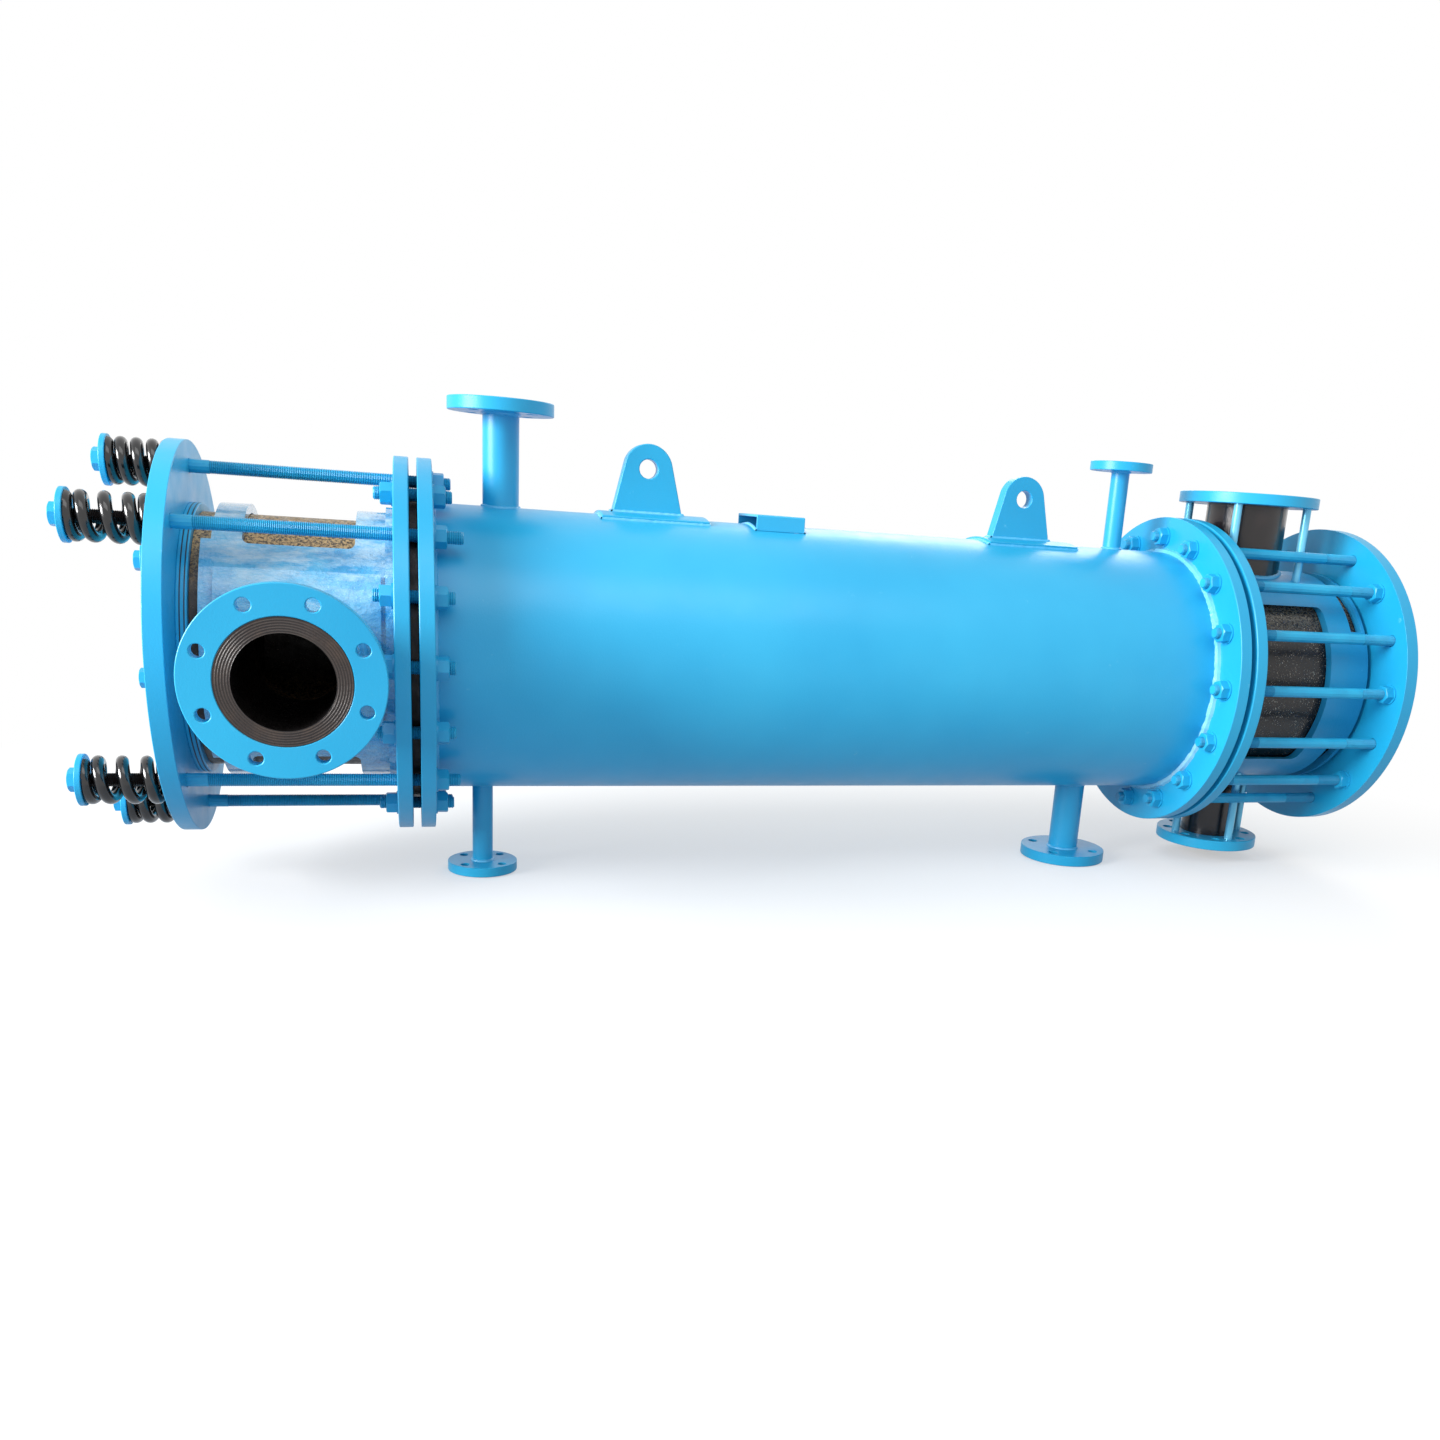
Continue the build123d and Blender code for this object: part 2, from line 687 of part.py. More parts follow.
bottom_face = axis_height - bottom_port_face
with BuildPart() as bottom_nozzle_stub:
    with BuildSketch(level(bottom_port_x, bottom_face)):
        Circle(bottom_stub_radius)
        Circle(bottom_bore / 2, mode=Mode.SUBTRACT)
    extrude(amount=bottom_port_face)
    with BuildSketch(across(cover_face)):
        Circle(core_radius + weld_fit)
    extrude(amount=cover_face - right_sheet_face, mode=Mode.SUBTRACT)
finish(bottom_nozzle_stub.part, "bottom_nozzle_stub")

with BuildPart() as bottom_nozzle_flange:
    with BuildSketch(level(bottom_port_x, bottom_face)):
        Circle(bottom_flange_od / 2)
        Circle(bottom_stub_radius + weld_fit, mode=Mode.SUBTRACT)
        with PolarLocations(bottom_bolt_radius, bottom_bolt_count, 22.5):
            Circle(bottom_bolt_hole / 2, mode=Mode.SUBTRACT)
    extrude(amount=bottom_flange_thick)
finish(bottom_nozzle_flange.part, "bottom_nozzle_flange")

# The clamping rods stand on the jacket and end in the back of each flange
with BuildPart() as top_nozzle_rods:
    with BuildSketch(level(top_port_x, axis_height)):
        with PolarLocations(top_bolt_radius, port_rod_count, 45):
            Circle(port_rod_dia / 2)
    extrude(amount=top_port_face - top_flange_thick)
    with BuildSketch(across(cover_face)):
        Circle(jacket_radius + weld_fit)
    extrude(amount=cover_face - right_sheet_face, mode=Mode.SUBTRACT)
finish(top_nozzle_rods.part, "top_nozzle_rods")

with BuildPart() as bottom_nozzle_rods:
    with BuildSketch(level(bottom_port_x, bottom_face + bottom_flange_thick)):
        with PolarLocations(bottom_bolt_radius - bottom_rod_inset, port_rod_count, 0):
            Circle(port_rod_dia / 2)
    extrude(amount=bottom_port_face - bottom_flange_thick)
    with BuildSketch(across(cover_face)):
        Circle(jacket_radius + weld_fit)
    extrude(amount=cover_face - right_sheet_face, mode=Mode.SUBTRACT)
finish(bottom_nozzle_rods.part, "bottom_nozzle_rods")
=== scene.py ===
import bpy
import bmesh
from math import cos, sin, pi, radians, sqrt
from mathutils import Matrix, Vector


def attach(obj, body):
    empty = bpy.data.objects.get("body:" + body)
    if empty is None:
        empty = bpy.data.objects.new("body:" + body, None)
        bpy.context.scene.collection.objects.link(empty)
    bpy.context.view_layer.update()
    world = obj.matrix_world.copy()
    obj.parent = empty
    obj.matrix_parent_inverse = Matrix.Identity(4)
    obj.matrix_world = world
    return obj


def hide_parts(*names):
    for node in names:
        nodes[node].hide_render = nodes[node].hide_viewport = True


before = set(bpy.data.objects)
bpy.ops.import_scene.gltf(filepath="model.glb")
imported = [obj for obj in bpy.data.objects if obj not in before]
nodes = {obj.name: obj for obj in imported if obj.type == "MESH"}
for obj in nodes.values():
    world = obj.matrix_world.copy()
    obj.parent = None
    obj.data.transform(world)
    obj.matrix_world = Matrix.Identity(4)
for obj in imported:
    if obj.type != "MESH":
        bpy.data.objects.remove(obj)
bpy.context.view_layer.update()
print("frame loaded")

# Places that several pieces share, in metres, in the exchanger's own frame
layout = {
    "axisZ": 0.380,
    "boltRadius": 0.2575,
    "shellRadius": 0.2285,
    "jacketRadius": 0.208,
    "sideNozzleX": -0.264,
    "plateOuter": -0.447,
    "capThick": 0.008,
    "leftHeaderFace": -0.134,
    "leftSeat": -0.078,
    "rightSeat": 1.272,
    "rightHeaderFace": 1.328,
    "coverFace": 1.637,
    "coverOuter": 1.662,
}
# The six sprung rods, by angle from the side nozzle upwards
tieRods = {
    "angles": (45, 90, 157.5, -157.5, -90, -45),
    "springLengths": (0.098, 0.080, 0.080, 0.084, 0.086, 0.103),
    "shellEnds": (0.026, 0.013, 0.013, 0.013, 0.013, 0.020),
    "capEnd": 0.015,
}
axisZ = layout["axisZ"]
boltRadius = layout["boltRadius"]
allAngles = [22.5 * k for k in range(16)]
portAngles = (90, 270)
longAngles = [a for a in allAngles if a not in portAngles]
shortAngles = [a for a in allAngles if a not in [rod % 360 for rod in tieRods["angles"]]]


def srgb(red, green, blue):
    def linear(v):
        v /= 255
        return v / 12.92 if v <= 0.04045 else ((v + 0.055) / 1.055) ** 2.4
    return (linear(red), linear(green), linear(blue), 1.0)


def onCircle(x, radius, angle):  # angle from the side nozzle, upwards
    a = radians(angle)
    return Vector((x, -radius * cos(a), axisZ + radius * sin(a)))


class NodeMaker:
    def __init__(self, tree):
        self.tree = tree
        self.nodes = tree.nodes

    def add(self, kind, inputs=None, **settings):
        node = self.nodes.new(kind)
        for key, value in settings.items():
            setattr(node, key, value)
        for key, value in (inputs or {}).items():
            self.put(value, node.inputs[key])
        return node

    def put(self, value, socket):
        if isinstance(value, bpy.types.NodeSocket):
            self.tree.links.new(value, socket)
        else:
            socket.default_value = value

    def maths(self, operation, first, second=0.0):
        return self.add("ShaderNodeMath", {0: first, 1: second}, operation=operation).outputs[0]


class Shader(NodeMaker):
    def __init__(self, name):
        self.material = bpy.data.materials.new(name)
        self.material.use_nodes = True
        super().__init__(self.material.node_tree)
        self.surface = self.nodes["Principled BSDF"]
        self.coords = self.add("ShaderNodeTexCoord").outputs["Object"]

    def noise(self, scale, detail=4, rough=0.55, stretch=None):
        vector = self.coords
        if stretch:
            vector = self.add("ShaderNodeMapping", {"Vector": vector, "Scale": stretch}).outputs[0]
        return self.add("ShaderNodeTexNoise", {"Vector": vector, "Scale": scale, "Detail": detail,
                                               "Roughness": rough}).outputs[0]

    def across(self, axis):  # the place along X, Y or Z
        return self.add("ShaderNodeSeparateXYZ", {"Vector": self.coords}).outputs[axis]

    def facingUp(self, low, high):  # 0 on walls and undersides, 1 on faces that look up
        normal = self.add("ShaderNodeNewGeometry").outputs["Normal"]
        up = self.add("ShaderNodeSeparateXYZ", {"Vector": normal}).outputs["Z"]
        return self.grey(up, 0.0, 1.0, low, high)

    def ramp(self, value, stops):
        node = self.add("ShaderNodeValToRGB", {"Fac": value})
        elements = node.color_ramp.elements
        while len(elements) < len(stops):
            elements.new(0.5)
        for element, (place, colour) in zip(elements, stops):
            element.position = place
            element.color = colour if len(colour) == 4 else (*colour, 1)
        return node.outputs[0]

    def grey(self, value, low, high, fromLow=0.0, fromHigh=1.0):
        return self.add("ShaderNodeMapRange", {"Value": value, "From Min": fromLow,
                                               "From Max": fromHigh, "To Min": low,
                                               "To Max": high}).outputs[0]

    def mix(self, factor, first, second):
        return self.add("ShaderNodeMix", {0: factor, 6: first, 7: second}, data_type="RGBA").outputs[2]

    def bump(self, height, strength, distance, normal=None):
        inputs = {"Height": height, "Strength": strength, "Distance": distance}
        if normal is not None:
            inputs["Normal"] = normal
        return self.add("ShaderNodeBump", inputs).outputs[0]

    def finish(self, **sockets):
        for key, value in sockets.items():
            self.put(value, self.surface.inputs[key.replace("_", " ")])
        return self.material


# Blue gloss paint over steel: faint clouding, orange peel, a few dull scuffs, dark lines at seams
seamLine = {"colour": srgb(14, 30, 44), "inner": 0.0006, "outer": 0.0012}
bluePaint = {
    "deep": srgb(34, 164, 214),
    "bright": srgb(54, 184, 228),
    "scuffAndSheen": srgb(110, 200, 230),
    "roughness": (0.28, 0.38),
}


def makeBluePaint(name, values, peel=0.00025, wave=0.0006, seams=()):
    s = Shader(name)
    cloud = s.noise(2.2, 4, 0.5)
    colour = s.ramp(cloud, ((0.30, values["deep"]), (0.70, values["bright"])))
    # wear scuffs; on the weld paints the same flecks are painted highlights
    wearAndSheen = s.grey(s.noise(46, 8, 0.68), 0.0, 0.55, 0.66, 0.76)
    colour = s.mix(wearAndSheen, colour, values["scuffAndSheen"])
    for x in seams:
        away = s.maths("ABSOLUTE", s.maths("SUBTRACT", s.across("X"), x))
        gap = s.grey(away, 1.0, 0.0, seamLine["inner"], seamLine["outer"])
        colour = s.mix(gap, colour, seamLine["colour"])
    rough = s.grey(s.noise(24, 6, 0.6), *values["roughness"], 0.3, 0.7)
    skin = s.bump(s.noise(14, 3, 0.5), 0.5, wave)
    skin = s.bump(s.noise(420, 3, 0.5), 0.55, peel, skin)
    return s.finish(Base_Color=colour, Roughness=rough, Normal=skin, Specular_IOR_Level=0.5)


# The same paint brushed over rough castings: lumps, pits and ridges, with painted shade in the hollows,
# painted highlight on the ridges and a painted pale sheen streaked on faces that look up
castPaint = {
    "hollow": srgb(34, 146, 200),
    "body": srgb(62, 172, 218),
    "ridge": srgb(116, 196, 228),
    # painted highlight: the colour of the pale sheen on faces that look up
    "bare": srgb(190, 220, 234),
    "lump": 0.0050,
    "pit": 0.0014,
}


def makeCastPaint(name, values):
    s = Shader(name)
    lumps = s.noise(26, 6, 0.58)
    pits = s.noise(130, 5, 0.6)
    # painted shade in the hollows and painted highlight on the ridges, following the lumps' relief
    colour = s.ramp(lumps, ((0.30, values["hollow"]), (0.50, values["body"]),
                            (0.74, values["ridge"])))
    rough = s.grey(pits, 0.08, 0.24, 0.3, 0.7)
    wrinkles = s.noise(52, 6, 0.60, (1.0, 1.0, 1.8))
    streaks = s.noise(34, 8, 0.68, (0.45, 1.0, 1.6))
    # painted pale sheen: a streaked highlight on faces that look up
    wornAndSheen = s.maths("MULTIPLY", s.facingUp(0.25, 0.62), s.grey(streaks, 0.05, 0.85, 0.44, 0.62))
    colour = s.mix(wornAndSheen, colour, values["bare"])
    skin = s.bump(lumps, 0.8, values["lump"])
    skin = s.bump(wrinkles, 0.9, values["lump"], skin)
    skin = s.bump(pits, 0.8, values["pit"], skin)
    return s.finish(Base_Color=colour, Roughness=rough, Normal=skin, Coat_Weight=0.9,
                    Coat_Roughness=0.08)


# Machined graphite: brown-black with tan dust patches, painted glints on the grain in clusters, and paler
# tan on faces that look up
graphiteSkin = {
    "dark": srgb(26, 22, 21),
    "body": srgb(58, 50, 46),
    "dustAndGlint": srgb(126, 104, 82),
    # painted glint colour
    "glint": srgb(190, 178, 160),
    # paler tan for faces that look up
    "paleOnTop": srgb(198, 164, 116),
}


def makeGraphite(name, values, dustAndGlint=0.62, roughness=(0.26, 0.60), shine=0.0):
    s = Shader(name)
    patch = s.noise(11, 6, 0.62)
    grain = s.noise(380, 4, 0.7)
    colour = s.ramp(patch, ((0.30, values["dark"]), (0.55, values["body"]), (0.80, values["dustAndGlint"])))
    # painted glints on the grain, gathered in clusters
    glints = s.maths("MULTIPLY", s.grey(grain, 0.0, 0.95, dustAndGlint, dustAndGlint + 0.06),
                     s.grey(s.noise(30, 6, 0.62), 0.15, 1.0, 0.44, 0.58))
    colour = s.mix(glints, colour, values["glint"])
    # paler tan on faces that look up
    paleOnTop = s.maths("MULTIPLY", s.facingUp(0.45, 0.85),
                      s.grey(s.noise(230, 6, 0.78), 0.0, 1.0, 0.45, 0.54))
    colour = s.mix(paleOnTop, colour, values["paleOnTop"])
    rough = s.grey(s.noise(60, 5, 0.6), *roughness, 0.3, 0.7)
    skin = s.bump(s.noise(70, 6, 0.65), 0.6, 0.0010)
    skin = s.bump(grain, 0.7, 0.0006, skin)
    return s.finish(Base_Color=colour, Roughness=rough, Normal=skin, Metallic=0.15,
                    Coat_Weight=shine, Coat_Roughness=0.06)


# The side liner: fine grooves turned in its face about the nozzle's axis, a black bore
turnedLiner = {
    "ring": srgb(54, 43, 38),
    "wornAndSheen": srgb(104, 80, 62),
    "bore": srgb(13, 11, 11),
    "boreEdge": (0.0628, 0.0632),
    "pitch": 0.0034,
}


def makeTurnedLiner(name, values):
    s = Shader(name)
    dx = s.maths("SUBTRACT", s.across("X"), layout["sideNozzleX"])
    dz = s.maths("SUBTRACT", s.across("Z"), axisZ)
    radius = s.maths("SQRT", s.maths("ADD", s.maths("MULTIPLY", dx, dx), s.maths("MULTIPLY", dz, dz)))
    wave = s.maths("SINE", s.maths("MULTIPLY", radius, 2 * pi / values["pitch"]))
    grain = s.noise(300, 4, 0.7)
    colour = s.mix(s.grey(wave, 0.0, 0.6, -1, 1), values["ring"], values["bore"])
    colour = s.mix(s.grey(s.noise(24, 5, 0.6), 0.0, 0.4, 0.5, 0.8), colour, values["wornAndSheen"])
    inside = s.grey(radius, 1.0, 0.0, *values["boreEdge"])
    colour = s.mix(inside, colour, values["bore"])
    skin = s.bump(wave, 0.6, 0.0006)
    skin = s.bump(grain, 0.4, 0.0004, skin)
    return s.finish(Base_Color=colour, Roughness=s.grey(grain, 0.2, 0.45, 0.3, 0.7), Normal=skin)


# Rods: painted blue, with painted shade in the thread's grooves, and black on the stretch inside the
# springs
rodSkin = {
    "deep": srgb(26, 160, 208),
    "bright": srgb(40, 178, 222),
    "groove": srgb(10, 70, 116),
    # black on the stretch inside the springs
    "blackInSprings": srgb(22, 17, 18),
    "blackReach": 0.106,
}


def makeRodPaint(name, values):
    s = Shader(name)
    colour = s.ramp(s.noise(20, 5, 0.6), ((0.35, values["deep"]), (0.65, values["bright"])))
    outside = s.maths("LESS_THAN", s.across("X"), layout["plateOuter"])
    inSpring = s.maths("GREATER_THAN", s.across("X"), layout["plateOuter"] - values["blackReach"])
    groove = s.add("ShaderNodeAttribute", attribute_name="groove").outputs["Fac"]
    # painted shade: darker in the thread's grooves
    colour = s.mix(s.maths("MULTIPLY", groove, 0.5), colour, values["groove"])
    # black on the stretch inside the springs
    colour = s.mix(s.maths("MULTIPLY", outside, inSpring), colour, values["blackInSprings"])
    skin = s.bump(s.noise(300, 3, 0.6), 0.5, 0.0003)
    return s.finish(Base_Color=colour, Roughness=s.grey(s.noise(40), 0.34, 0.5, 0.3, 0.7), Normal=skin)


# Springs: black gloss with a thin brownish film
springSkin = {"body": srgb(10, 10, 12), "film": srgb(30, 27, 26)}


def makeSpringPaint(name, values):
    s = Shader(name)
    film = s.noise(120, 4, 0.6)
    colour = s.mix(s.grey(film, 0.0, 0.5, 0.55, 0.75), values["body"], values["film"])
    skin = s.bump(s.noise(90, 3, 0.5), 0.35, 0.0006)
    return s.finish(Base_Color=colour, Roughness=s.grey(film, 0.14, 0.26, 0.35, 0.7), Normal=skin,
                    Coat_Weight=0.6, Coat_Roughness=0.08)


paint = makeBluePaint("bluePaint", bluePaint)
flangeColours = {
    "deep": srgb(26, 160, 208),
    "bright": srgb(40, 178, 222),
    "scuffAndSheen": srgb(120, 208, 234),
    "roughness": (0.28, 0.40),
}
jacketColours = {
    "deep": srgb(26, 138, 190),
    "bright": srgb(44, 164, 210),
    "scuffAndSheen": srgb(130, 206, 232),
    "roughness": (0.28, 0.44),
}
flangePaint = makeBluePaint("flangePaint", flangeColours, 0.0003, 0.0003)
# pale bead paint with near-white painted highlights, for the right flange's weld
brightWeld = makeBluePaint("brightWeld", {
    "deep": srgb(56, 184, 232),
    "bright": srgb(176, 226, 242),
    "scuffAndSheen": srgb(244, 250, 252),
    "roughness": (0.22, 0.36),
}, 0.0010, 0.0022)
# pale bead paint with painted highlights, for the other welds
weldPaint = makeBluePaint("weldPaint", {
    "deep": srgb(60, 170, 222),
    "bright": srgb(120, 208, 240),
    "scuffAndSheen": srgb(206, 238, 248),
    "roughness": (0.26, 0.40),
}, 0.0006, 0.0015)
roughCast = makeCastPaint("roughCast", castPaint)
graphite = makeGraphite("graphite", graphiteSkin)
blackGraphite = makeGraphite("blackGraphite", {
    "dark": srgb(12, 11, 11),
    "body": srgb(30, 28, 28),
    "dustAndGlint": srgb(62, 54, 48),
    "glint": srgb(120, 112, 104),
    "paleOnTop": srgb(60, 56, 52),
}, 0.68)
liner = makeTurnedLiner("turnedLiner", turnedLiner)
rightGraphite = makeGraphite("rightGraphite", {
    "dark": srgb(10, 9, 10),
    "body": srgb(22, 18, 18),
    "dustAndGlint": srgb(52, 44, 40),
    "glint": srgb(226, 218, 200),
    "paleOnTop": srgb(150, 142, 124),
}, 0.60, (0.12, 0.30), 0.15)
stubGraphite = makeGraphite("stubGraphite", {
    "dark": srgb(16, 10, 11),
    "body": srgb(28, 19, 20),
    "dustAndGlint": srgb(52, 38, 36),
    "glint": srgb(84, 70, 66),
    "paleOnTop": srgb(40, 32, 30),
}, 0.68, (0.06, 0.18), 0.4)
ringSeams = (-0.4105, -0.4165)  # where the left end ring's layers meet
ringPaint = makeBluePaint("ringPaint", flangeColours, 0.0006, 0.0012, ringSeams)
jacketPaint = makeBluePaint("jacketPaint", jacketColours, 0.0006, 0.0012)
nutPaint = makeBluePaint("nutPaint", flangeColours, 0.0002, 0.0004)
rodPaint = makeRodPaint("rodPaint", rodSkin)
springBlack = makeSpringPaint("springBlack", springSkin)
print("materials made")


def settle(piece, slotName, *replaced):
    bpy.context.view_layer.update()
    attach(piece, "root")
    if replaced:
        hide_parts(*replaced)
    return piece


def link(name, mesh):
    piece = bpy.data.objects.new(name, mesh)
    bpy.context.scene.collection.objects.link(piece)
    return piece


def softenEdges(mesh, angle=32):
    bm = bmesh.new()
    bm.from_mesh(mesh)
    bmesh.ops.remove_doubles(bm, verts=bm.verts, dist=1e-6)
    for edge in bm.edges:
        flat = len(edge.link_faces) == 2 and edge.calc_face_angle(0) < radians(angle)
        edge.smooth = flat
    for face in bm.faces:
        face.smooth = True
    bm.to_mesh(mesh)
    bm.free()


def mergeFlats(mesh):
    bm = bmesh.new()
    bm.from_mesh(mesh)
    bmesh.ops.remove_doubles(bm, verts=bm.verts, dist=1e-6)
    bmesh.ops.dissolve_limit(bm, angle_limit=radians(0.4), verts=bm.verts, edges=bm.edges)
    bm.to_mesh(mesh)
    bm.free()


def smoothCopy(node, slotName, material, bevel=0.0008):
    # the same solid with its flat facets merged and its edges slightly worn round
    mesh = nodes[node].data.copy()
    mesh.materials.clear()
    mesh.materials.append(material)
    mergeFlats(mesh)
    softenEdges(mesh)
    piece = link(node + "Finished", mesh)
    if bevel:
        modifier = piece.modifiers.new("worn edges", "BEVEL")
        modifier.width = bevel
        modifier.segments = 2
        modifier.limit_method = "ANGLE"
        modifier.angle_limit = radians(40)
        even = piece.modifiers.new("even shading", "WEIGHTED_NORMAL")
        even.keep_sharp = True
    return settle(piece, slotName, node)


class Tree(NodeMaker):
    def __init__(self, name):
        super().__init__(bpy.data.node_groups.new(name, "GeometryNodeTree"))
        for way in ("OUTPUT", "INPUT"):
            self.tree.interface.new_socket("Geometry", in_out=way, socket_type="NodeSocketGeometry")
        self.entry = self.add("NodeGroupInput")
        self.exit = self.add("NodeGroupOutput")

    def size(self, name, value, kind="NodeSocketFloat"):
        socket = self.tree.interface.new_socket(name, in_out="INPUT", socket_type=kind)
        if value is not None:
            socket.default_value = value
        return self.entry.outputs[name]

    def evenSteps(self, line, step):
        return self.add("GeometryNodeResampleCurve", {"Curve": line, "Length": step},
                        mode="LENGTH").outputs[0]

    def close(self, geometry, material):
        real = self.add("GeometryNodeRealizeInstances", {"Geometry": geometry})
        coat = self.add("GeometryNodeSetMaterial", {"Geometry": real.outputs[0], "Material": material})
        self.put(coat.outputs[0], self.exit.inputs[0])
        return self.tree


def grow(name, tree, base, values, slotName, replaced=(), angle=32):
    # run a tree on a base mesh, keep the result as a plain mesh
    seed = link(name + "Seed", base)
    modifier = seed.modifiers.new("tree", "NODES")
    modifier.node_group = tree
    for item in tree.interface.items_tree:
        if item.item_type == "SOCKET" and item.in_out == "INPUT" and item.name in values:
            modifier[item.identifier] = values[item.name]
    bpy.context.view_layer.update()
    ready = seed.evaluated_get(bpy.context.evaluated_depsgraph_get())
    mesh = bpy.data.meshes.new_from_object(ready)
    bpy.data.objects.remove(seed)
    mesh.name = name
    softenEdges(mesh, angle)
    return settle(link(name, mesh), slotName, *replaced)


def placesMesh(name, places):
    # one vertex for each copy, with the direction that it looks kept as an attribute
    mesh = bpy.data.meshes.new(name)
    mesh.from_pydata([tuple(place) for place, _ in places], [], [])
    mesh.attributes.new("way", "FLOAT_VECTOR", "POINT")
    mesh.attributes["way"].data.foreach_set("vector", [part for _, way in places for part in way])
    return mesh


def named(tree, name, kind):
    return tree.add("GeometryNodeInputNamedAttribute", {"Name": name}, data_type=kind).outputs[0]


# Each CAD node's own finish, with how far its edges are worn round, in metres
dressing = {
    "shell": ("blue_paint", paint, 0),
    "shell_flange_left": ("blue_paint", flangePaint, 0.0016),
    "shell_flange_right": ("blue_paint", flangePaint, 0.0016),
    "header_flange_left": ("blue_paint", flangePaint, 0.0016),
    "header_flange_right": ("blue_paint", flangePaint, 0.0016),
    "pressure_plate": ("blue_paint", flangePaint, 0.0030),
    "end_cover": ("blue_paint", flangePaint, 0.0030),
    "side_nozzle_flange": ("blue_paint", flangePaint, 0.0014),
    "top_nozzle_flange": ("blue_paint", flangePaint, 0.0014),
    "bottom_nozzle_flange": ("blue_paint", flangePaint, 0.0014),
    "upper_left_flange": ("blue_paint", flangePaint, 0.0012),
    "upper_right_flange": ("blue_paint", flangePaint, 0.0012),
    "lower_left_flange": ("blue_paint", flangePaint, 0.0012),
    "lower_right_flange": ("blue_paint", flangePaint, 0.0012),
    "upper_left_stem": ("blue_paint", paint, 0.0006),
    "upper_right_stem": ("blue_paint", paint, 0.0006),
    "lower_left_stem": ("blue_paint", paint, 0.0006),
    "lower_right_stem": ("blue_paint", paint, 0.0006),
    "lug_left": ("blue_paint", flangePaint, 0.0018),
    "lug_right": ("blue_paint", flangePaint, 0.0018),
    "plate_bracket": ("blue_paint", paint, 0.0008),
    "spring_caps": ("blue_paint", flangePaint, 0.0010),
    "left_header_ring": ("cast_paint", ringPaint, 0.0012),
    "left_header_jacket": ("cast_paint", roughCast, 0.0022),
    "left_jacket_saddle": ("cast_paint", roughCast, 0.0022),
    "right_header_jacket": ("cast_paint", jacketPaint, 0.0016),
    "right_end_ring": ("cast_paint", jacketPaint, 0.0016),
    "side_nozzle_neck": ("cast_paint", roughCast, 0.0010),
    "side_nozzle_liner": ("graphite", liner, 0.0012),
    "left_header_graphite": ("graphite", graphite, 0.0010),
    "right_header_graphite": ("graphite", rightGraphite, 0.0010),
    "top_nozzle_stub": ("graphite", stubGraphite, 0.0012),
    "bottom_nozzle_stub": ("graphite", stubGraphite, 0.0012),
    "tube_sheet_left": ("graphite_black", blackGraphite, 0.0008),
    "tube_sheet_right": ("graphite_black", blackGraphite, 0.0008),
}
for node, (slotName, material, wornAndSheen) in dressing.items():
    smoothCopy(node, slotName, material, wornAndSheen)
print("CAD nodes dressed")


# Hexagon nuts with chamfered corners, on washers at the flanges and bare at the spring caps
fastener = {
    "flats": 0.030,
    "height": 0.016,
    "capHeight": 0.014,
    "bore": 0.0098,
    "chamferTo": 0.0142,
    "chamferSlope": 0.58,
    "washerRadius": 0.0185,
    "washerHeight": 0.003,
    "steps": 48,
    "boltEnd": 0.0125,
    "turnSeed": 4,
}
# Rods and studs: V threads cut in them, some plain over a middle stretch, ends chamfered
thread = {
    "radius": 0.010,
    "pitch": 0.0025,
    "depth": 0.0011,
    "chamfer": 0.0020,
    "sides": 12,
    "plainTieRods": (layout["plateOuter"], -0.395),
    "plainStuds": (1.372, 1.570),
}


def rodEnds():  # both ends of every rod of each node, the left one first
    height, past = fastener["height"], fastener["boltEnd"]
    leftEnd = layout["leftHeaderFace"] - height - past
    seatNutTop = layout["leftSeat"] + height
    rightStart = layout["rightSeat"] - height - past
    capFace = layout["plateOuter"] - layout["capThick"] - tieRods["capEnd"]

    def between(low, high, angle):
        return onCircle(low, boltRadius, angle), onCircle(high, boltRadius, angle)

    rods = zip(tieRods["angles"], tieRods["springLengths"], tieRods["shellEnds"])
    return {
        "tie_rods": [between(capFace - length, seatNutTop + shellEnd, a) for a, length, shellEnd in rods],
        "left_flange_bolts": [between(leftEnd, seatNutTop + past, a) for a in shortAngles],
        "right_studs": [between(rightStart, layout["coverOuter"] + height + past, a) for a in longAngles],
        "right_flange_bolts": [between(rightStart, layout["rightHeaderFace"] + height + past, a)
                               for a in portAngles],
    }


